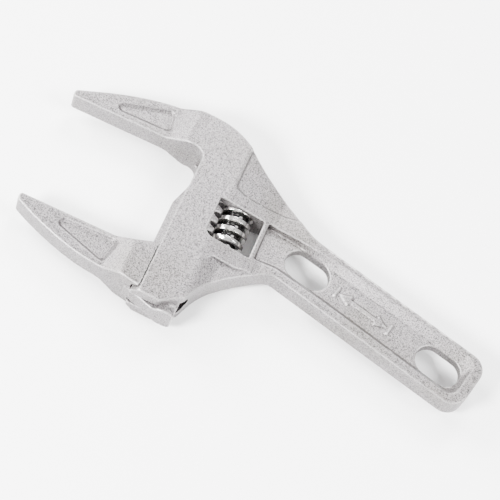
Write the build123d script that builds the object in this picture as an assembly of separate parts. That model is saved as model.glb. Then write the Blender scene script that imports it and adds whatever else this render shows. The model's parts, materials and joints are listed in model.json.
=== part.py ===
from build123d import *
import math
import os

# Wide-opening adjustable wrench, short handle, die-cast aluminium, steel worm.
# Jaw frame: x runs along the jaws from their tips towards the handle, y is the slide
# direction towards the fixed jaw, z is the thickness, 0 at mid thickness.
# Handle frame: x runs along the handle. The two frames share one origin and z.

# ---- driving dimensions, mm ----
handle_skew = 13.0          # angle between the jaws and the handle, degrees
opening = 50.0              # jaw gap at rest
opening_max = 68.0
opening_min = 6.0
fixed_face_y = 22.6         # fixed jaw's gripping face
jaw_tip_x = -85.0
jaw_thick = 10.2            # thickness of both jaw noses and of the handle
head_thick = 20.0
ramp_start_x = -42.5        # where the nose starts to thicken
ramp_end_x = -34.0          # where it reaches the head's thickness
throat_x = -26.1            # front of the head above the guides
guide_x = -29.3             # front of the guide cheeks
guide_bevel = 3.2           # bevel along the cheeks' outer edges
throat_r = 5.0
head_foot_y = -48.0         # lower end of the slide housing
tower_back_x = -9.2         # handle side of the slide housing

rail_x = -13.5              # axis of the round rail
rail_r = 6.4
rail_fit = 0.08             # radial running clearance of the rail in its bore
rail_top_y = 17.0
rail_below_jaw = 22.6        # how far the rail reaches below the moving face
slot_room = 0.6             # metal left between the neck slot and the fixed face
neck_thick = 7.6
guide_gap = 0.6             # clearance between jaw and cheeks

worm_x = -3.4
worm_r = 7.7
worm_long = 17.2
worm_foot_gap = 0.35        # end play below the worm
worm_dome = 2.2            # length of the rounded, thread-free end
thread_pitch = 4.7
thread_depth = 2.6
thread_crest = 1.6
thread_flank = 15.0         # half angle of the thread, degrees
thread_phase = 4.25         # height of the crest above the foot, on the handle side
mesh_depth = 1.6            # how deep the worm reaches into the rack
rack_clear = 1.2            # room below the crest in the rack
mesh_play = 0.15            # clearance on each flank

pin_r = 2.0
pin_fit = 0.06
pin_sunk = 5.5             # how far the pin reaches past the window's foot
pin_head_r = 2.6
pin_head_long = 7.0
pin_seat_room = 2.0         # the pin's head seats this far below the fixed face
pin_end_gap = 0.3
spring_wire = 0.7
spring_r = 3.1              # mean radius of the coil
spring_turns = 4
spring_seat = 5.0           # depth of the spring's counterbore in the worm
spring_play = 0.02

window_left_x = -12.3
window_right_x = 7.9
window_foot_y = -12.3
window_top_y = 5.6
window_corner_r = 3.2

handle_axis_y = 2.9         # handle's centre line in the handle frame
handle_wide = 25.0
handle_end_x = 113.4
handle_end_r = 7.0
slot_long = 20.0
slot_wide = 12.7
slot_first_x = 31.8
slot_spacing = 65.0
web_thick = 4.6             # floor between the two handle recesses
recess_start_x = 9.9        # jaw frame; handle recess begins here
recess_end_x = 108.8
scoop_wide = 4.6            # plan width of the recess's sloping upper wall
edge_r = 0.6                # rounding of the cast edges

pocket_deep = 1.3           # triangular pockets in the jaws
pocket_draft = 40.0         # lean of the pockets' walls, degrees
blend_r = 6.0               # soft bends where the thickness changes
gusset_deep = 0.8           # step down to the upper gusset
web_start_x = -9.0          # where the lower gusset starts to thin
web_knee_x = -2.0
web_knee_z = 6.4
slope_start_x = -10.0       # where the head starts to thin towards the handle
slope_end_x = 13.0
mark_high = 0.7             # raised range mark in the handle recess

half_jaw = jaw_thick / 2
half_head = head_thick / 2
moving_face_y = fixed_face_y - opening
travel_close = opening - opening_min
travel_open = opening_max - opening
pin_seat_y = fixed_face_y - pin_seat_room
rail_foot_y = moving_face_y - rail_below_jaw
worm_foot_y = window_foot_y + worm_foot_gap

to_handle = Location((0, 0, 0), (0, 0, handle_skew))
to_jaw = Location((0, 0, 0), (0, 0, -handle_skew))


def in_jaw(x, y):
    """A handle frame point in the jaw frame."""
    a = math.radians(-handle_skew)
    return (x * math.cos(a) - y * math.sin(a), x * math.sin(a) + y * math.cos(a))


def in_handle(x, y):
    """A jaw frame point in the handle frame."""
    a = math.radians(handle_skew)
    return (x * math.cos(a) - y * math.sin(a), x * math.sin(a) + y * math.cos(a))


def slab(face, low, high):
    """Extrude a sketch between two heights."""
    return extrude(Plane.XY.offset(low) * face, high - low)


def polygon(points):
    return make_face(Polyline(*points, close=True))


def rounded(face, radius):
    return fillet(face.vertices(), radius)


def thickness_profile(points):
    """An x-z outline, symmetric about mid thickness, swept along the slide direction."""
    both = points + [(x, -z) for x, z in reversed(points)]
    profile = make_face(Polyline(*both, close=True))
    inner = [v for v in profile.vertices() if abs(v.X) < 60]
    profile = fillet(inner, blend_r)
    return extrude(Plane.XZ * profile, 100, both=True)


def outer_edges(solid):
    """The edges round the two broad faces."""
    return solid.edges().filter_by(lambda e: abs(e.center().Z) > half_jaw - 0.05)


def soften(solid, edges):
    """Round the edges by edge_r, or by the largest share of it that the shape takes."""
    for share in (1.0, 0.75, 0.5, 0.25):
        try:
            return fillet(edges, edge_r * share)
        except ValueError:
            continue
    return solid


def nearest(face, x, y):
    return face.vertices().sort_by_distance((x, y, 0))[0]


# ---- fixed jaw, head and handle: one casting ----
handle_dir = (math.cos(math.radians(handle_skew)), -math.sin(math.radians(handle_skew)))


def body_outline():
    """Plan of the whole casting in the jaw frame."""
    upper = handle_axis_y + handle_wide / 2
    lower = handle_axis_y - handle_wide / 2
    a = in_jaw(30.0, upper)
    b = in_jaw(handle_end_x, upper)
    c = in_jaw(handle_end_x, lower)
    d = in_jaw(24.0, lower)
    tip = (jaw_tip_x, fixed_face_y + 3.0)
    shoulder = (-6.0, fixed_face_y + 8.0)
    heel = (tower_back_x + 0.6, head_foot_y + 5.6)
    back = Spline(
        tip, (-68.0, fixed_face_y + 9.9), (-43.0, fixed_face_y + 16.0),
        (-30.0, fixed_face_y + 16.4), (-16.6, fixed_face_y + 14.2), shoulder,
        tangents=[(1, 0.42), (1, -0.8)])
    gusset = Spline(shoulder, (20.5, 14.3), a, tangents=[(1, -0.8), handle_dir])
    foot = Spline(
        d, (13.0, -17.9), (4.6, -24.0), (-3.8, -32.5), heel,
        tangents=[(-handle_dir[0], -handle_dir[1]), (-0.35, -1)])
    front = Polyline(
        heel, (rail_x + 0.5, head_foot_y + 2.6), (rail_x - 3.6, head_foot_y), (guide_x, head_foot_y + 0.5),
        (guide_x, -4.0), (throat_x, 4.0), (throat_x, fixed_face_y), (jaw_tip_x, fixed_face_y), tip)
    face = make_face(back + gusset + Line(a, b) + Line(b, c) + Line(c, d) + foot + front)
    corners = (
        (b[0], b[1], handle_end_r), (c[0], c[1], handle_end_r),
        (throat_x, fixed_face_y, throat_r), (throat_x, 4.0, 6.0), (guide_x, -4.0, 4.0),
        (jaw_tip_x, fixed_face_y, 1.2), (tip[0], tip[1], 1.6),
        (rail_x - 3.6, head_foot_y, 1.5))
    for x, y, radius in corners:
        face = fillet(nearest(face, x, y), radius)
    return face


def body_blank():
    envelope = thickness_profile(
        [(-200, half_jaw), (ramp_start_x, half_jaw), (ramp_end_x, half_head),
         (slope_start_x, half_head), (slope_end_x, half_jaw), (200, half_jaw)])
    return slab(body_outline(), -half_head, half_head) & envelope


def jaw_pocket(points, radius=1.2):
    """A shallow triangular pocket, cut from both faces of a jaw nose."""
    face = Plane.XY.offset(half_jaw - pocket_deep) * rounded(polygon(points), radius)
    one = extrude(face, 2 * pocket_deep, taper=-pocket_draft)
    return one + mirror(one, Plane.XY)


def guide_bevels():
    """The two slopes along the front of the cheeks, as material to remove."""
    x = guide_x
    z = half_head - guide_bevel
    points = [(x - 8, z - 8), (x, z), (x + guide_bevel + 4, half_head + 4), (x - 8, half_head + 4)]
    prism = extrude(Plane.XZ.offset(-5.0) * polygon(points), 60)
    return prism + mirror(prism, Plane.XY)


def recess_face(grow, drop):
    """Plan of the handle recess, in the handle frame; its floor or its mouth."""
    top = handle_axis_y + slot_wide / 2 + 0.3
    foot = handle_axis_y - slot_wide / 2 - 0.5 - drop
    end_x = recess_end_x - 2.0 + drop
    points = [
        in_handle(recess_start_x, window_top_y + 0.5), (22.0, top - 0.3 + 0.3 * grow),
        (42.0, top - 0.2 + 0.8 * grow), (end_x, top + grow), (end_x, foot), (44.0, foot + 0.3),
        (21.5, foot - 0.4), in_handle(recess_start_x, window_foot_y + 2.6 - 0.8 * drop)]
    face = polygon(points)
    for x, y in ((end_x, top + grow), (end_x, foot)):
        face = fillet(nearest(face, x, y), 4.5)
    return face


def handle_recess():
    half_web = web_thick / 2
    floor = Plane.XY.offset(half_web) * recess_face(0.0, 0.0)
    mouth = Plane.XY.offset(half_jaw) * recess_face(scoop_wide, 2.0)
    one = loft([floor, mouth], ruled=True)
    clear = Plane.XY.offset(half_jaw) * recess_face(scoop_wide, 2.0)
    one += extrude(clear, 6)
    return to_jaw * (one + mirror(one, Plane.XY))


def slot_cut():
    shape = SlotOverall(slot_long, slot_wide)
    cut = None
    for x in (slot_first_x, slot_first_x + slot_spacing):
        one = slab(Location((x, handle_axis_y)) * shape, -half_head, half_head)
        cut = one if cut is None else cut + one
    return to_jaw * cut


def range_mark():
    """A double-headed arrow between two bars, raised from both recess floors."""
    long, high = 26.0, 5.0
    head = polygon([(0, 0), (5.0, high / 2), (5.0, -high / 2)])
    bar = Location((long / 2, 0)) * Rectangle(1.1, high)
    arrow = Location((-long / 2 + 1.6, 0)) * head
    sketch = Rectangle(long - 10.0, 1.3) + bar + mirror(bar, Plane.YZ) + arrow + mirror(arrow, Plane.YZ)
    low = web_thick / 2 - 0.3
    solid = slab(sketch, low, web_thick / 2 + mark_high)
    solid = Location((slot_first_x + slot_spacing / 2 - 4.8, handle_axis_y)) * solid
    return to_jaw * (solid + mirror(solid, Plane.XY))


def along_slide(x, low, high, radius):
    """A cylinder along the slide direction at one x."""
    return extrude(Plane.XZ.offset(-low) * Location((x, 0)) * Circle(radius), -(high - low))


def window_cut():
    points = [
        (window_left_x, window_foot_y), (window_right_x, window_foot_y),
        (window_right_x, window_top_y), (window_left_x, window_top_y)]
    face = polygon(points)
    face = fillet(nearest(face, window_left_x, window_foot_y), window_corner_r)
    return slab(face, -half_head - 1, half_head + 1)


def pin_hole():
    foot = window_foot_y - pin_sunk
    hole = along_slide(worm_x, foot, 60, pin_r + pin_fit)
    return hole + along_slide(worm_x, pin_seat_y, 60, pin_head_r + pin_fit)


def gusset_step(outline, corners, floor):
    """Lower both faces of a gusset to a thickness profile, inside an outline open to the edge."""
    face = polygon(outline)
    for x, y, radius in corners:
        face = fillet(nearest(face, x, y), radius)
    one = slab(face, 0, half_head + 1) - floor
    return one + mirror(one, Plane.XY)


def gusset_steps():
    upper = gusset_step(
        [(-8.6, 45), (-8.6, 12.8), (-3.5, 11.3), (6.0, 11.4), (15.6, 12.4), (26.0, 14.5), (26.0, 45)],
        [(-8.6, 12.8, 2.5), (-3.5, 11.3, 2.0)],
        thickness_profile(
            [(-200, half_head - gusset_deep), (slope_start_x, half_head - gusset_deep),
             (slope_end_x, half_jaw - gusset_deep), (200, half_jaw - gusset_deep)]))
    lower = gusset_step(
        [(-8.9, -60), (-8.9, -23.5), (-5.2, -19.7), (4.1, -19.6), (11.0, -17.6), (16.0, -16.0), (18.0, -60)],
        [(-8.9, -23.5, 4.0), (-5.2, -19.7, 1.5)],
        thickness_profile(
            [(-200, half_head), (web_start_x, half_head), (web_knee_x, web_knee_z),
             (slope_end_x, half_jaw), (200, half_jaw)]))
    return upper + lower


def body():
    solid = body_blank()
    solid = soften(solid, outer_edges(solid))
    fixed_pocket = jaw_pocket([(-72.5, 26.1), (-44.6, 34.9), (-43.4, 26.6)])
    rail_room = along_slide(rail_x, -80, 80, rail_r + rail_fit)
    slot_half = neck_thick / 2 + guide_gap
    slot_top = fixed_face_y - slot_room
    neck_slot = Pos((guide_x - 5 + rail_x) / 2, (slot_top - 80) / 2, 0) * Box(
        rail_x - guide_x + 5, slot_top + 80, 2 * slot_half)
    for tool in (fixed_pocket, rail_room, neck_slot, guide_bevels(), window_cut(), pin_hole(),
                 gusset_steps(), handle_recess(), slot_cut()):
        solid -= tool
    return solid + range_mark()


# ---- moving jaw: nose, root, neck and round rail with rack teeth ----
def jaw_outline():
    """Plan of the nose and root."""
    y = moving_face_y
    back_x = guide_x + guide_bevel - guide_gap
    tip = (jaw_tip_x - 0.4, y - 3.2)
    heel = (back_x, y - 18.6)
    belly = Spline(heel, (-43.0, y - 15.8), (-52.5, y - 14.6), (-62.0, y - 12.4), tip,
                   tangents=[(-1, 0.24), (-1, 0.55)])
    hidden_x = back_x + 6.0
    face = make_face(belly + Polyline(
        tip, (jaw_tip_x - 0.4, y), (guide_x - 6.0, y), (guide_x - 0.4, y + 2.0),
        (hidden_x, y + 2.0), (hidden_x, heel[1] - 1.5), heel))
    for cx, cy, radius in ((tip[0], tip[1], 1.6), (tip[0], y, 1.2), (guide_x - 6.0, y, 6.0),
                           (guide_x - 0.4, y + 2.0, 1.8)):
        face = fillet(nearest(face, cx, cy), radius)
    return face


def jaw_blank():
    envelope = thickness_profile(
        [(-200, half_jaw), (ramp_start_x - 1.0, half_jaw), (ramp_end_x - 1.5, half_head),
         (200, half_head)])
    return slab(jaw_outline(), -half_head, half_head) & envelope


def rack_spaces():
    """The gaps between the rack teeth, tilted to the worm's lead."""
    worm_reach = worm_x - worm_r
    tip_x = worm_reach + mesh_depth
    root_x = worm_reach - rack_clear
    slope = math.tan(math.radians(thread_flank))
    wide_tip = thread_crest / 2 + mesh_depth * slope + mesh_play
    wide_root = thread_crest / 2 - rack_clear * slope + mesh_play
    section = polygon([(root_x, -wide_root), (tip_x + 1, -wide_tip - slope),
                       (tip_x + 1, wide_tip + slope), (root_x, wide_root)])
    tilt = math.degrees(math.atan(thread_pitch / (2 * math.pi * (worm_r - mesh_depth / 2))))
    one = Rot(-tilt, 0, 0) * extrude(section, 12, both=True)
    # the thread starts opposite the rack, so it crosses the rack's side half a turn later
    first = worm_foot_y + thread_phase + thread_pitch / 2
    low = math.floor((rail_foot_y - first) / thread_pitch)
    high = math.ceil((rail_top_y - first) / thread_pitch)
    spaces = None
    for k in range(low, high + 1):
        space = Pos(0, first + k * thread_pitch, 0) * one
        spaces = space if spaces is None else spaces + space
    return spaces


def moving_jaw():
    solid = jaw_blank()
    cast = outer_edges(solid).filter_by(lambda e: e.center().X < guide_x + 8.0)
    solid = soften(solid, cast)
    solid -= jaw_pocket([(-71.5, moving_face_y - 3.6), (-43.2, moving_face_y - 2.6),
                         (-44.6, moving_face_y - 12.3)])
    # the back of the root follows the cheeks' front and their bevels
    x = guide_x - guide_gap
    z = half_head - guide_bevel
    core = polygon([(x, z), (x + 20, z + 20), (x + 20, -z - 20), (x, -z)])
    solid -= extrude(Plane.XZ.offset(-200) * core, 400)
    back_x = guide_x + guide_bevel - guide_gap
    solid -= Pos(back_x + 20, 0, 0) * Box(40, 400, 60)
    neck_top = moving_face_y - 0.3
    neck = Pos((guide_x - 3 + rail_x) / 2, (neck_top + rail_foot_y) / 2, 0) * Box(
        rail_x - guide_x + 3, neck_top - rail_foot_y, neck_thick)
    rail = along_slide(rail_x, rail_foot_y, rail_top_y, rail_r)
    tip_x = worm_x - worm_r + mesh_depth
    rail -= Pos(tip_x + 10, 0, 0) * Box(20, 200, 40)
    bar = neck + rail
    end = polygon([(guide_x - 6, moving_face_y - 17.2), (rail_x - 3.8, rail_foot_y),
                   (rail_x - 3.8, rail_foot_y - 30), (guide_x - 6, rail_foot_y - 30)])
    bar -= slab(end, -20, 20)
    bar = chamfer(bar.edges().group_by(Axis.Y)[-1], 0.8)
    bar -= rack_spaces()
    return solid + bar


# ---- worm: threaded knurl with a domed foot, on a pin, pushed by a spring ----
def worm_section():
    """The worm cut square to its axis: crest, root and the two flanks between them."""
    root_r = worm_r - thread_depth
    turn = 2 * math.pi / thread_pitch
    crest_end = thread_crest / 2 * turn
    root_start = crest_end + thread_depth * math.tan(math.radians(thread_flank)) * turn

    def at(radius, angle):
        return (radius * math.cos(angle), radius * math.sin(angle))

    def flank(side):
        steps = [k / 5 for k in range(6)]
        return Spline(*[at(worm_r - thread_depth * k, side * (crest_end + (root_start - crest_end) * k))
                        for k in steps])

    crest = ThreePointArc(at(worm_r, -crest_end), at(worm_r, 0), at(worm_r, crest_end))
    root = ThreePointArc(at(root_r, root_start), at(root_r, math.pi), at(root_r, -root_start))
    return make_face(crest + flank(1) + root + flank(-1)).faces()[0]


def worm():
    foot = worm_foot_y
    top = foot + worm_long
    root_r = worm_r - thread_depth
    twist = 360 * worm_long / thread_pitch
    solid = Solid.extrude_linear_with_rotation(worm_section(), (0, 0, 0), (0, 0, worm_long), twist)
    solid = Pos(worm_x, foot, 0) * Rot(-90, 0, 0) * Rot(0, 0, -360 * thread_phase / thread_pitch) * solid
    clear = worm_r + 6
    dome = Polyline(
        (0, foot - 1), (root_r - 0.8, foot - 1), (root_r - 0.8, foot + 0.2),
        (worm_r - 0.6, foot + worm_dome), (worm_r + 0.8, foot + worm_dome + 2.0),
        (clear, foot + worm_dome + 2.0), (clear, foot - 5), (0, foot - 5), (0, foot - 1))
    solid -= Pos(worm_x, 0, 0) * revolve(make_face(dome), Axis.Y)
    solid -= along_slide(worm_x, foot - 1, top + 1, pin_r + pin_fit)
    return solid - along_slide(worm_x, top - spring_seat, top + 1, spring_r + spring_wire / 2 + 0.25)


def worm_spring():
    foot = worm_foot_y + worm_long - spring_seat + spring_wire / 2 + spring_play
    top = window_top_y - spring_wire / 2 - spring_play
    helix = Helix((top - foot) / spring_turns, top - foot, spring_r)
    section = Plane(origin=helix @ 0, z_dir=helix % 0) * Circle(spring_wire / 2)
    coil = sweep(section, path=helix, is_frenet=True)
    return Pos(worm_x, foot, 0) * Rot(-90, 0, 0) * coil


def worm_pin():
    foot = window_foot_y - pin_sunk + pin_end_gap
    top = pin_seat_y
    pin = along_slide(worm_x, foot, top + 1, pin_r)
    pin = chamfer(pin.edges().sort_by(Axis.Y)[0], 0.4)
    pin += along_slide(worm_x, top, top + pin_head_long, pin_head_r)
    slot = Pos(worm_x, top + pin_head_long, 0) * Box(20, 2.4, 1.0)
    return pin - slot


if __name__ == "__main__":
    os.makedirs("parts", exist_ok=True)
    pieces = {
        "body": body(), "moving_jaw": moving_jaw(), "worm": worm(),
        "worm_spring": worm_spring(), "worm_pin": worm_pin()}
    turned = {name: to_handle * solid for name, solid in pieces.items()}
    box = Compound([solid for piece in turned.values() for solid in piece.solids()]).bounding_box()
    base = Location((-box.center().X, -box.center().Y, -box.min.Z))
    for name, solid in turned.items():
        export_step(base * solid, f"parts/{name}.step")
    print("base", base.position, "size", box.size)
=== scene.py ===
"""Studio scene of a short wide-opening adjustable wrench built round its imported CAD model."""

import json
import logging
import math
from dataclasses import dataclass, field
from enum import Enum
from typing import Optional, Sequence

import bmesh
import bpy
from mathutils import Matrix, Vector


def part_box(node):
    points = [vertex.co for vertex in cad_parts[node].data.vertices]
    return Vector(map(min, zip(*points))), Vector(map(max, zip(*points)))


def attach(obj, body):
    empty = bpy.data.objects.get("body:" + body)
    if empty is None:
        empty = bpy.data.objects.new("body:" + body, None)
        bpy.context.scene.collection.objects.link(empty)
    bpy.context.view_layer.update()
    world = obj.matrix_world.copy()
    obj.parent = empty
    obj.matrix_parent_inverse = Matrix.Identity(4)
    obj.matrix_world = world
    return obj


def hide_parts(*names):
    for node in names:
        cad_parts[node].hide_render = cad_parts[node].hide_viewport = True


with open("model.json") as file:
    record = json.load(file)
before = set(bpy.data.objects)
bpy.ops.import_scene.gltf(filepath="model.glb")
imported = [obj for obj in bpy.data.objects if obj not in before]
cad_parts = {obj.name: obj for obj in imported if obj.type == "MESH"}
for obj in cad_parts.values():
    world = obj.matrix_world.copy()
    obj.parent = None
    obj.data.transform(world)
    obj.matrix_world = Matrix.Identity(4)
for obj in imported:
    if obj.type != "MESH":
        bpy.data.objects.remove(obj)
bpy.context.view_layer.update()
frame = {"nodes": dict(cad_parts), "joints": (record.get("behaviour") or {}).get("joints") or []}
MM = 0.001
UPRIGHT = Vector((0, 0, 1))
log = logging.getLogger("wrench")


class Slot(Enum):
    """Names of the record's material slots; each casting carries one, though its finish comes from the
    material passed to it.
    """

    CAST = "cast_aluminium"
    CAST_JAW = "cast_aluminium_jaw"
    POLISHED = "polished_steel"
    SPRING = "spring_steel"


def linear(code: str) -> tuple[float, float, float, float]:
    """Turn an sRGB hex colour into linear RGBA.

    Args:
        code: Six hex digits, such as "C8C4C2".

    Returns:
        Red, green, blue and alpha, linear.
    """
    channels = [int(code[i:i + 2], 16) / 255 for i in (0, 2, 4)]
    return tuple(c / 12.92 if c <= 0.04045 else ((c + 0.055) / 1.055) ** 2.4 for c in channels) + (1.0,)


def add_node(tree: bpy.types.NodeTree, kind: str, inputs: Optional[dict] = None,
             **settings) -> bpy.types.Node:
    """Add one node, set it and link it.

    Args:
        tree: The node tree that the node joins.
        kind: The node's type name.
        inputs: Socket name or index to a value, or to a socket to link from.
        settings: Attributes of the node itself.

    Returns:
        The new node.
    """
    node = tree.nodes.new(kind)
    for name, value in settings.items():
        setattr(node, name, value)
    for key, value in (inputs or {}).items():
        if isinstance(value, bpy.types.NodeSocket):
            tree.links.new(value, node.inputs[key])
        else:
            node.inputs[key].default_value = value
    return node


def ramp(tree: bpy.types.NodeTree, factor: bpy.types.NodeSocket,
         stops: Sequence[tuple[float, tuple]]) -> bpy.types.NodeSocket:
    """Map a factor to colours.

    Args:
        tree: The node tree.
        factor: The socket that drives the ramp.
        stops: Position and linear RGBA of each stop, in order.

    Returns:
        The ramp's colour socket.
    """
    node = add_node(tree, "ShaderNodeValToRGB", {"Fac": factor})
    elements = node.color_ramp.elements
    for index, (position, colour) in enumerate(stops):
        element = elements[index] if index < 2 else elements.new(position)
        element.position, element.color = position, colour
    return node.outputs["Color"]


def new_material(name: str) -> tuple[bpy.types.Material, bpy.types.NodeTree, bpy.types.NodeSocket]:
    """Start a node material.

    Args:
        name: The material's name.

    Returns:
        The material, its tree and the Object coordinate socket.
    """
    material = bpy.data.materials.new(name)
    material.use_nodes = True
    tree = material.node_tree
    tree.nodes.clear()
    return material, tree, add_node(tree, "ShaderNodeTexCoord").outputs["Object"]


@dataclass(frozen=True)
class CastAluminium:
    """Die-cast aluminium, shot-blasted and left bare: a pale, slightly warm grey with a fine grain.

    The blasting leaves overlapping dents, so the metal scatters light evenly and glints only in
    points. Real dents are about 0.3 mm across; they are drawn at 0.45 mm so that they show.
    Handling leaves broad, faint clouds of warmer oxide and rubs the edges bright; that edge colour is
    also a painted highlight, and a dark colour paints shade into the inside corners.
    """

    name: str = "cast_aluminium_blasted"
    light: str = "938F90"
    dark: str = "403E3F"
    oxide: str = "D9D8CC"
    # Rubbed edge wear and a painted highlight on the sharp outer edges.
    rubbed_edge_and_highlight: str = "DAD8D6"
    # Painted shade for the inside corners.
    crease_shade: str = "6B6866"
    metallic: float = 0.85
    roughness: float = 0.48
    grit_mm: float = 0.45
    cloud_mm: float = 28.0
    dent_mm: float = 0.05
    ripple_mm: float = 4.0

    def build(self) -> bpy.types.Material:
        """Build the material.

        Returns:
            The blasted casting material.
        """
        material, tree, place = new_material(self.name)
        grit = add_node(tree, "ShaderNodeTexNoise", {
            "Vector": place, "Scale": 1 / (self.grit_mm * MM), "Detail": 1.5, "Roughness": 0.6})
        cloud = add_node(tree, "ShaderNodeTexNoise", {
            "Vector": place, "Scale": 1 / (self.cloud_mm * MM), "Detail": 2.0, "Roughness": 0.5})
        ripple = add_node(tree, "ShaderNodeTexNoise", {
            "Vector": place, "Scale": 1 / (self.ripple_mm * MM), "Detail": 1.0})
        grain = ramp(tree, grit.outputs["Fac"], [(0.34, linear(self.dark)), (0.62, linear(self.light))])
        worn = ramp(tree, cloud.outputs["Fac"], [(0.45, linear("FFFFFF")), (0.70, linear(self.oxide))])
        colour = add_node(tree, "ShaderNodeMix", {0: 0.5, 6: grain, 7: worn},
                          data_type="RGBA", blend_type="MULTIPLY")
        bend = add_node(tree, "ShaderNodeNewGeometry").outputs["Pointiness"]
        # Painted shade: low pointiness darkens the inside corners.
        crease_shade_tint = ramp(tree, bend, [(0.44, linear(self.crease_shade)), (0.49, linear("FFFFFF"))])
        crease_shaded_colour = add_node(tree, "ShaderNodeMix", {0: 1.0, 6: colour.outputs[2], 7: crease_shade_tint},
                          data_type="RGBA", blend_type="MULTIPLY")
        # Rubbed wear and painted highlight: high pointiness lightens the outer edges.
        edge = add_node(tree, "ShaderNodeMapRange", {
            "Value": bend, "From Min": 0.51, "From Max": 0.57, "To Max": 0.55})
        colour = add_node(tree, "ShaderNodeMix", {
            0: edge.outputs["Result"], 6: crease_shaded_colour.outputs[2], 7: linear(self.rubbed_edge_and_highlight)}, data_type="RGBA")
        rough = add_node(tree, "ShaderNodeMapRange", {
            "Value": grit.outputs["Fac"], "From Min": 0.3, "From Max": 0.7,
            "To Min": self.roughness - 0.12, "To Max": self.roughness + 0.12})
        dents = add_node(tree, "ShaderNodeBump", {
            "Height": grit.outputs["Fac"], "Strength": 0.7, "Distance": self.dent_mm * 2 * MM})
        waves = add_node(tree, "ShaderNodeBump", {
            "Height": ripple.outputs["Fac"], "Strength": 0.3, "Distance": self.dent_mm * 3 * MM,
            "Normal": dents.outputs["Normal"]})
        shader = add_node(tree, "ShaderNodeBsdfPrincipled", {
            "Base Color": colour.outputs[2], "Metallic": self.metallic,
            "Roughness": rough.outputs["Result"], "Normal": waves.outputs["Normal"]})
        add_node(tree, "ShaderNodeOutputMaterial", {"Surface": shader.outputs["BSDF"]})
        return material


@dataclass(frozen=True)
class TurnedSteel:
    """Turned and plated steel: bright, with fine tool lines round the axis and a few small nicks."""

    name: str
    colour: str
    stain: str
    roughness: float
    spread: float
    line_mm: float = 0.12
    nick_mm: float = 1.4
    metallic: float = 1.0
    root_grease_and_shade: str = "343435"

    def build(self, axis: Vector, foot: Vector, bright_reach: float = 0.0,
              dark_reach: float = -1.0) -> bpy.types.Material:
        """Build the material.

        Args:
            axis: The direction that the piece was turned about.
            foot: A point on that axis.
            bright_reach: Radius beyond which the metal keeps its own bright colour, metres.
            dark_reach: Radius within which dark lubricant and painted shade fully darken the thread roots,
                metres. The default leaves none.

        Returns:
            The turned steel material.
        """
        material, tree, place = new_material(self.name)
        turn = axis.to_track_quat("Z", "Y").to_euler()
        along = add_node(tree, "ShaderNodeVectorRotate", {"Vector": place, "Rotation": turn},
                         rotation_type="EULER_XYZ", invert=True)
        squeezed = add_node(tree, "ShaderNodeMapping", {
            "Vector": along.outputs["Vector"], "Scale": (0.04, 0.04, 1.0)})
        lines = add_node(tree, "ShaderNodeTexNoise", {
            "Vector": squeezed.outputs["Vector"], "Scale": 1 / (self.line_mm * MM), "Detail": 2.0})
        nicks = add_node(tree, "ShaderNodeTexNoise", {
            "Vector": place, "Scale": 1 / (self.nick_mm * MM), "Detail": 4.0, "Roughness": 0.6})
        metal = ramp(tree, nicks.outputs["Fac"], [
            (0.30, linear(self.stain)), (0.48, linear(self.colour))])
        # Dark lubricant and painted shade: the colour darkens towards the axis, down into the thread
        # roots.
        centred = add_node(tree, "ShaderNodeVectorMath", {0: place, 1: foot}, operation="SUBTRACT")
        cross = add_node(tree, "ShaderNodeVectorMath", {0: centred.outputs["Vector"], 1: axis},
                         operation="CROSS_PRODUCT")
        reach = add_node(tree, "ShaderNodeVectorMath", {0: cross.outputs["Vector"]}, operation="LENGTH")
        bright = add_node(tree, "ShaderNodeMapRange", {
            "Value": reach.outputs["Value"], "From Min": dark_reach, "From Max": bright_reach},
                          interpolation_type="SMOOTHSTEP")
        tint = add_node(tree, "ShaderNodeMix", {
            0: bright.outputs["Result"], 6: linear(self.root_grease_and_shade), 7: metal}, data_type="RGBA").outputs[2]
        rough = add_node(tree, "ShaderNodeMapRange", {
            "Value": lines.outputs["Fac"], "From Min": 0.3, "From Max": 0.7,
            "To Min": self.roughness, "To Max": self.roughness + self.spread})
        scored = add_node(tree, "ShaderNodeBump", {
            "Height": lines.outputs["Fac"], "Strength": 0.25, "Distance": 0.02 * MM})
        worn = add_node(tree, "ShaderNodeBump", {
            "Height": nicks.outputs["Fac"], "Strength": 0.35, "Distance": 0.12 * MM,
            "Normal": scored.outputs["Normal"]})
        shader = add_node(tree, "ShaderNodeBsdfPrincipled", {
            "Base Color": tint, "Metallic": self.metallic,
            "Roughness": rough.outputs["Result"], "Normal": worn.outputs["Normal"]})
        add_node(tree, "ShaderNodeOutputMaterial", {"Surface": shader.outputs["BSDF"]})
        return material


POLISHED = TurnedSteel("turned_steel_plated", "ECEBE8", "A3A29F", 0.08, 0.10)
GROUND = TurnedSteel("ground_steel_pin", "BDBDBC", "8F8F8E", 0.28, 0.12)
WIRE = TurnedSteel("drawn_spring_wire", "9FA0A2", "77777A", 0.30, 0.10)


def dress(node: bpy.types.Object, material: bpy.types.Material) -> None:
    """Give one object a single material.

    Args:
        node: The object to dress.
        material: The material for all its faces.
    """
    node.data.materials.clear()
    node.data.materials.append(material)
    log.info("dressed %s in %s", node.name, material.name)


def adopt(name: str, mesh: bpy.types.Mesh, body: str, node: str) -> bpy.types.Object:
    """Put a finished mesh in the scene in place of a CAD node.

    Args:
        name: The piece's name.
        mesh: Its mesh, already in place.
        body: The CAD body that it moves with.
        node: The CAD node that it stands for.

    Returns:
        The piece.
    """
    piece = bpy.data.objects.new(name, mesh)
    bpy.context.scene.collection.objects.link(piece)
    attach(piece, body)
    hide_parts(node)
    log.info("built %s, %d faces, on %s", name, len(mesh.polygons), body)
    return piece


def scratch_object(mesh: bpy.types.Mesh) -> bpy.types.Object:
    """Put a mesh in the scene for as long as its modifiers need.

    Args:
        mesh: The mesh to work on.

    Returns:
        The object, which evaluated_mesh removes again.
    """
    scratch = bpy.data.objects.new("scratch", mesh)
    bpy.context.scene.collection.objects.link(scratch)
    return scratch


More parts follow.
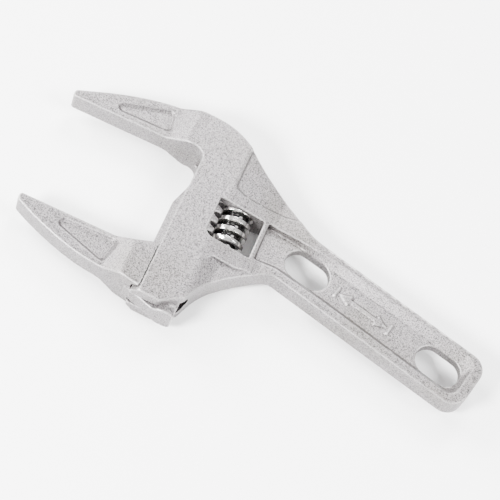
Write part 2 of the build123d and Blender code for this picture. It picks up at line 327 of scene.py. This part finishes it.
def evaluated_mesh(piece: bpy.types.Object) -> bpy.types.Mesh:
    """Bake an object's modifiers into a new mesh and remove the object.

    Args:
        piece: A scratch object with live modifiers.

    Returns:
        The plain mesh.
    """
    graph = bpy.context.evaluated_depsgraph_get()
    mesh = bpy.data.meshes.new_from_object(piece.evaluated_get(graph))
    bpy.data.objects.remove(piece)
    return mesh


def cover(mesh: bpy.types.Mesh, material: bpy.types.Material) -> None:
    """Shade a mesh smoothly and give all of it one material.

    Args:
        mesh: The mesh to finish.
        material: The material for all its faces.
    """
    mesh.polygons.foreach_set("use_smooth", [True] * len(mesh.polygons))
    mesh.materials.clear()
    mesh.materials.append(material)


@dataclass
class Casting:
    """One of the two castings: the CAD shape with the soft edges and corners of a cast surface.

    A skin is drawn over the shape at an even spacing, smoothed, and thinned if it is too fine.
    """

    node: str
    body: str
    slot: Slot
    weld_mm: float = 0.0005
    skin_mm: float = 0.40
    soften: int = 3
    soften_share: float = 0.5
    most_triangles: int = 185_000

    def build(self, material: bpy.types.Material) -> None:
        """Build the casting and dress it.

        Args:
            material: The cast finish.
        """
        mesh = frame["nodes"][self.node].data.copy()
        merged = bmesh.new()
        merged.from_mesh(mesh)
        bmesh.ops.remove_doubles(merged, verts=merged.verts, dist=self.weld_mm * MM)
        merged.to_mesh(mesh)
        merged.free()
        scratch = scratch_object(mesh)
        skin = scratch.modifiers.new("skin", "REMESH")
        skin.mode, skin.voxel_size = "VOXEL", self.skin_mm * MM
        smooth = scratch.modifiers.new("smooth", "SMOOTH")
        smooth.factor, smooth.iterations = self.soften_share, self.soften
        mesh = evaluated_mesh(scratch)
        triangles = 2 * len(mesh.polygons)
        if triangles > self.most_triangles:
            scratch = scratch_object(mesh)
            thin = scratch.modifiers.new("thin", "DECIMATE")
            thin.ratio = self.most_triangles / triangles
            mesh = evaluated_mesh(scratch)
        cover(mesh, material)
        adopt("cast_" + self.node, mesh, self.body, self.node)


@dataclass
class SlideAxis:
    """The worm's own axes and ends, read from its CAD node."""

    up: Vector = field(init=False)
    side: Vector = field(init=False)
    foot: Vector = field(init=False)
    long: float = field(init=False)
    radius: float = field(init=False)

    def __post_init__(self) -> None:
        """Read the axis from the joint and the ends from the node."""
        joint = next(j for j in frame["joints"] if j["name"] == "worm_spin")
        self.up = Vector(joint["axis"]).normalized()
        self.side = self.up.cross(UPRIGHT).normalized()
        low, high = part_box("worm")
        self.radius = (high[2] - low[2]) / 2
        point = Vector(joint["pos_m"])
        heights = [(v.co - point).dot(self.up) for v in frame["nodes"]["worm"].data.vertices]
        self.foot = point + self.up * min(heights)
        self.long = max(heights) - min(heights)

    def place(self, radius: float, turn: float, height: float) -> Vector:
        """Give a point in cylinder coordinates about the worm's axis.

        Args:
            radius: Distance from the axis, metres.
            turn: Angle about the axis in radians, 0 towards the handle.
            height: Distance above the worm's foot, metres.

        Returns:
            The point in the frame.
        """
        across = self.side * math.cos(turn) - UPRIGHT * math.sin(turn)
        return self.foot + self.up * height + across * radius


@dataclass
class Worm:
    """The worm: a single-start thread that runs out in a polished, rounded foot.

    Lengths are in metres. The foot is a flat rim, a slightly bulged cone up to `dome`, where it
    stops `shoulder` short of the crest, and a shallower run-out above. A bore takes the pin, and
    a wider seat at the top takes the spring. Edges sharper than `crisp_deg` stay crisp.
    """

    axis: SlideAxis
    pitch: float = 4.7 * MM
    depth: float = 2.6 * MM
    crest: float = 1.6 * MM
    flank_deg: float = 15.0
    phase: float = 4.25 * MM
    bore: float = 2.06 * MM
    seat: float = 3.7 * MM
    seat_deep: float = 5.0 * MM
    dome: float = 2.2 * MM
    neck: float = 0.8 * MM
    rim: float = 0.2 * MM
    shoulder: float = 0.6 * MM
    bulge: float = 0.3 * MM
    run_out: float = 0.7
    top_edge: float = 0.3 * MM
    turns: int = 200
    rows: int = 280
    crisp_deg: float = 50.0
    # How far below the crest the dark lubricant and painted shade in the thread roots begin and reach full
    # strength.
    bright_reach_deep: float = 1.1 * MM
    dark_reach_deep: float = 2.8 * MM

    def thread(self, turn: float, height: float) -> float:
        """Radius of the threaded surface.

        Args:
            turn: Angle about the axis, radians.
            height: Height above the foot, metres.

        Returns:
            The radius, metres.
        """
        away = (height - self.phase - self.pitch * turn / math.tau + self.pitch / 2) % self.pitch
        away = abs(away - self.pitch / 2) - self.crest / 2
        flank = self.depth * math.tan(math.radians(self.flank_deg))
        share = min(1.0, max(0.0, away / flank))
        share = share * share * (3 - 2 * share)
        return self.axis.radius - self.depth * share

    def limit(self, height: float) -> float:
        """Radius of the turned ends, which cut the thread off.

        Args:
            height: Height above the foot, metres.

        Returns:
            The greatest radius there, metres.
        """
        end = self.axis.radius - self.depth - self.neck
        share = min(1.0, max(0.0, (height - self.rim) / (self.dome - self.rim)))
        foot = end + (self.axis.radius - self.shoulder - end) * share
        foot += self.bulge * math.sin(math.pi * share)
        foot += max(0.0, height - self.dome) * self.run_out
        top = self.axis.radius - max(0.0, height - self.axis.long + self.top_edge)
        return min(top, foot)

    def build(self) -> None:
        """Build the worm and dress it in plated steel, its thread roots darkened by lubricant and painted
        shade.
        """
        material = POLISHED.build(self.axis.up, self.axis.foot, self.axis.radius - self.bright_reach_deep,
                                  self.axis.radius - self.dark_reach_deep)
        long = self.axis.long
        rings = []
        for turn_index in range(self.turns):
            turn = math.tau * turn_index / self.turns
            outer = [(min(self.thread(turn, h), self.limit(h)), h)
                     for h in (long * k / self.rows for k in range(self.rows + 1))]
            inner = [(self.seat, long), (self.seat, long - self.seat_deep),
                     (self.bore, long - self.seat_deep), (self.bore, 0.0)]
            rings.append([self.axis.place(r, turn, h) for r, h in outer + inner])
        count = len(rings[0])
        faces = [(a * count + k, a * count + (k + 1) % count,
                  (a + 1) % self.turns * count + (k + 1) % count, (a + 1) % self.turns * count + k)
                 for a in range(self.turns) for k in range(count)]
        mesh = bpy.data.meshes.new("worm_mesh")
        mesh.from_pydata([point for ring in rings for point in ring], [], faces)
        solid = bmesh.new()
        solid.from_mesh(mesh)
        bmesh.ops.recalc_face_normals(solid, faces=solid.faces)
        solid.to_mesh(mesh)
        solid.free()
        cover(mesh, material)
        mesh.set_sharp_from_angle(angle=math.radians(self.crisp_deg))
        adopt("threaded_worm", mesh, "worm", "worm")


@dataclass
class WormSpring:
    """The coil spring in the worm's counterbore, wound by a Geometry Nodes tree."""

    axis: SlideAxis
    wire: float = 0.35 * MM
    coil: float = 3.1 * MM
    turns: float = 4.0
    seat_deep: float = 5.0 * MM
    play: float = 0.02 * MM
    top_gap: float = 0.35 * MM

    def tree(self) -> bpy.types.GeometryNodeTree:
        """Build the tree that winds the wire.

        Returns:
            A tree with inputs Turns, Radius, Height, Wire and Finish.
        """
        tree = bpy.data.node_groups.new("wind_spring", "GeometryNodeTree")
        for name, kind in (("Geometry", "NodeSocketGeometry"), ("Turns", "NodeSocketFloat"),
                           ("Radius", "NodeSocketFloat"), ("Height", "NodeSocketFloat"),
                           ("Wire", "NodeSocketFloat"), ("Finish", "NodeSocketMaterial")):
            tree.interface.new_socket(name, in_out="INPUT", socket_type=kind)
        tree.interface.new_socket("Geometry", in_out="OUTPUT", socket_type="NodeSocketGeometry")
        sizes = add_node(tree, "NodeGroupInput")
        helix = add_node(tree, "GeometryNodeCurveSpiral", {
            "Resolution": 32, "Rotations": sizes.outputs["Turns"], "Start Radius": sizes.outputs["Radius"],
            "End Radius": sizes.outputs["Radius"], "Height": sizes.outputs["Height"]})
        section = add_node(tree, "GeometryNodeCurvePrimitiveCircle", {
            "Resolution": 12, "Radius": sizes.outputs["Wire"]})
        wire = add_node(tree, "GeometryNodeCurveToMesh", {
            "Curve": helix.outputs["Curve"], "Profile Curve": section.outputs["Curve"], "Fill Caps": True})
        real = add_node(tree, "GeometryNodeRealizeInstances", {"Geometry": wire.outputs["Mesh"]})
        finish = add_node(tree, "GeometryNodeSetMaterial", {
            "Geometry": real.outputs["Geometry"], "Material": sizes.outputs["Finish"]})
        add_node(tree, "NodeGroupOutput", {"Geometry": finish.outputs["Geometry"]})
        return tree

    def build(self, material: bpy.types.Material) -> None:
        """Wind the spring, set it on the worm's axis and dress it.

        Args:
            material: The wire finish.
        """
        height = self.seat_deep + self.top_gap - 2 * self.wire - 2 * self.play
        low = self.axis.long - self.seat_deep + self.wire + self.play
        scratch = scratch_object(bpy.data.meshes.new("scratch"))
        modifier = scratch.modifiers.new("wind", "NODES")
        modifier.node_group = self.tree()
        sizes = {"Turns": self.turns, "Radius": self.coil, "Height": height, "Wire": self.wire,
                 "Finish": material}
        for socket in modifier.node_group.interface.items_tree:
            if socket.in_out == "INPUT" and socket.name in sizes:
                modifier[socket.identifier] = sizes[socket.name]
        mesh = evaluated_mesh(scratch)
        turned = Matrix((self.axis.side, -UPRIGHT, self.axis.up)).transposed().to_4x4()
        turned = Matrix.Translation(self.axis.foot + self.axis.up * low) @ turned
        if turned.determinant() < 0:
            raise ValueError("the spring's axes are left-handed")
        mesh.transform(turned)
        cover(mesh, material)
        adopt("coil_spring", mesh, "body", "worm_spring")


@dataclass
class Wrench:
    """The whole tool: its castings, its worm and what holds the worm."""

    def build(self) -> None:
        """Build and dress every piece of the tool."""
        cast = CastAluminium().build()
        Casting("body", "body", Slot.CAST).build(cast)
        Casting("moving_jaw", "moving_jaw", Slot.CAST_JAW).build(cast)
        axis = SlideAxis()
        Worm(axis).build()
        WormSpring(axis).build(WIRE.build(axis.up, axis.foot))
        dress(frame["nodes"]["worm_pin"], GROUND.build(axis.up, axis.foot))


@dataclass(frozen=True)
class Lamp:
    """One soft, square area light: where it stands, its side in metres and its power in watts."""

    name: str
    place: tuple[float, float, float]
    size: float
    power: float


LAMPS = (
    Lamp("key", (-0.40, -0.80, 0.75), 0.30, 64.0),
    Lamp("fill", (0.75, 0.1, 0.9), 0.5, 26.0),
    Lamp("side", (-1.0, 0.1, 0.6), 0.5, 34.0),
    Lamp("back", (-0.2, 0.75, 0.8), 0.4, 20.0),
)


@dataclass
class Studio:
    """The pale floor, the soft lights and the camera, with its angles in degrees."""

    azimuth: float = 11.64
    elevation: float = 62.04
    roll: float = 25.97
    distance: float = 0.812
    lens: float = 144.5
    sensor: float = 36.0
    aim: Vector = field(default_factory=lambda: Vector((-0.0043, 0.0064, 0.010)))
    floor_size: float = 6.0
    paper: str = "FBFBFB"
    horizon: str = "3A3A3C"
    zenith: str = "FFFFFF"
    zenith_height: float = 0.8
    sky: float = 1.2

    def build(self) -> None:
        """Set the floor, the world, the lights and the camera."""
        self.make_floor()
        self.make_world()
        self.make_camera()
        for lamp in LAMPS:
            self.make_light(lamp)

    def make_floor(self) -> None:
        """Lay a plain pale floor under the tool."""
        half = self.floor_size / 2
        mesh = bpy.data.meshes.new("floor")
        mesh.from_pydata([(-half, -half, 0), (half, -half, 0), (half, half, 0), (-half, half, 0)],
                         [], [(0, 1, 2, 3)])
        floor = bpy.data.objects.new("floor", mesh)
        bpy.context.scene.collection.objects.link(floor)
        material, tree, _ = new_material("studio_paper")
        shader = add_node(tree, "ShaderNodeBsdfPrincipled", {
            "Base Color": linear(self.paper), "Roughness": 0.9})
        add_node(tree, "ShaderNodeOutputMaterial", {"Surface": shader.outputs["BSDF"]})
        mesh.materials.append(material)

    def make_world(self) -> None:
        """Surround the tool with a pale sky that darkens towards the horizon."""
        world = bpy.data.worlds.new("studio_world")
        world.use_nodes = True
        tree = world.node_tree
        tree.nodes.clear()
        place = add_node(tree, "ShaderNodeTexCoord").outputs["Generated"]
        height = add_node(tree, "ShaderNodeSeparateXYZ", {"Vector": place}).outputs["Z"]
        sky = ramp(tree, height, [
            (0.0, linear(self.horizon)), (self.zenith_height, linear(self.zenith))])
        background = add_node(tree, "ShaderNodeBackground", {"Color": sky, "Strength": self.sky})
        add_node(tree, "ShaderNodeOutputWorld", {"Surface": background.outputs["Background"]})
        bpy.context.scene.world = world

    def make_light(self, lamp: Lamp) -> None:
        """Add one light aimed at the tool.

        Args:
            lamp: The light to add.
        """
        data = bpy.data.lights.new(lamp.name, "AREA")
        data.size, data.energy = lamp.size, lamp.power
        light = bpy.data.objects.new(lamp.name, data)
        light.location = lamp.place
        light.rotation_euler = (Vector(lamp.place) - self.aim).to_track_quat("Z", "Y").to_euler()
        bpy.context.scene.collection.objects.link(light)

    def make_camera(self) -> None:
        """Place the camera on its azimuth, elevation and roll round the aim point."""
        data = bpy.data.cameras.new("camera")
        data.lens = self.lens
        data.sensor_width = self.sensor
        camera = bpy.data.objects.new("camera", data)
        turn = Matrix.Rotation(math.radians(self.azimuth), 4, "Z")
        tip = Matrix.Rotation(math.radians(90 - self.elevation), 4, "X")
        spin = Matrix.Rotation(math.radians(self.roll), 4, "Z")
        back = Matrix.Translation((0, 0, self.distance))
        camera.matrix_world = Matrix.Translation(self.aim) @ turn @ tip @ spin @ back
        bpy.context.scene.collection.objects.link(camera)
        bpy.context.scene.camera = camera


def main() -> None:
    logging.basicConfig(level=logging.INFO, format="%(name)s: %(message)s")
    Wrench().build()
    Studio().build()


if __name__ == "__main__":
    main()
